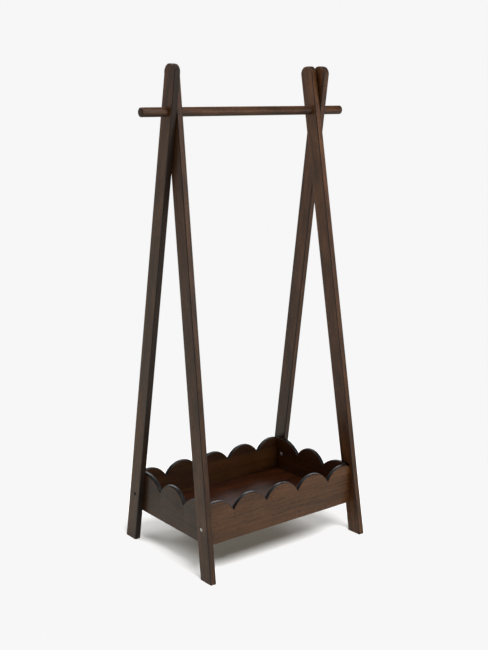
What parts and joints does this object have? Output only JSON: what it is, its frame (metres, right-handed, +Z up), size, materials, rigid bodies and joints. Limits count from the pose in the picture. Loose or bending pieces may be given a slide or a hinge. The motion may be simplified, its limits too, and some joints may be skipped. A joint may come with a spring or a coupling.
{
  "type": "clothes rack",
  "caption": "Free-standing child's clothes rack: crossed flat legs at both ends carry a round hanging rail above a low storage tray with scalloped edges.",
  "frame": {"origin": "on the floor, under the middle of the rack", "axes": "+Z up, +X along the rail to the right, front towards -Y"},
  "size_m": [0.61, 0.3765, 1.2],
  "materials": {
    "stained_wood": "dark brown stain under a satin lacquer",
    "stained_rail": "dark brown stain under a satin lacquer, turned",
    "stained_board": "reddish brown stain under a satin lacquer",
    "plain_wood": "bare beech",
    "bolt_steel": "zinc plated",
    "insert_brass": "plain",
    "cam_zinc": "cast zinc"
  },
  "bodies": {
    "root": {"bolt_insert_back_left": "insert_brass", "bolt_insert_back_right": "insert_brass", "bolt_insert_front_left": "insert_brass", "bolt_insert_front_right": "insert_brass", "corner_cam_back_left": "cam_zinc", "corner_cam_back_right": "cam_zinc", "corner_cam_front_left": "cam_zinc", "corner_cam_front_right": "cam_zinc", "corner_dowel_back_left": "plain_wood", "corner_dowel_back_right": "plain_wood", "corner_dowel_front_left": "plain_wood", "corner_dowel_front_right": "plain_wood", "corner_stud_back_left": "bolt_steel", "corner_stud_back_right": "bolt_steel", "corner_stud_front_left": "bolt_steel", "corner_stud_front_right": "bolt_steel", "hanging_rail": "stained_rail", "leg_back_left": "stained_wood", "leg_back_right": "stained_wood", "leg_bolt_back_left": "bolt_steel", "leg_bolt_back_right": "bolt_steel", "leg_bolt_front_left": "bolt_steel", "leg_bolt_front_right": "bolt_steel", "leg_front_left": "stained_wood", "leg_front_right": "stained_wood", "rail_screw_back_left": "bolt_steel", "rail_screw_back_right": "bolt_steel", "rail_screw_front_left": "bolt_steel", "rail_screw_front_right": "bolt_steel", "tray_back_panel": "stained_wood", "tray_floor_panel": "stained_board", "tray_front_panel": "stained_wood", "tray_left_end_panel": "stained_wood", "tray_right_end_panel": "stained_wood"}
  },
  "joints": []
}
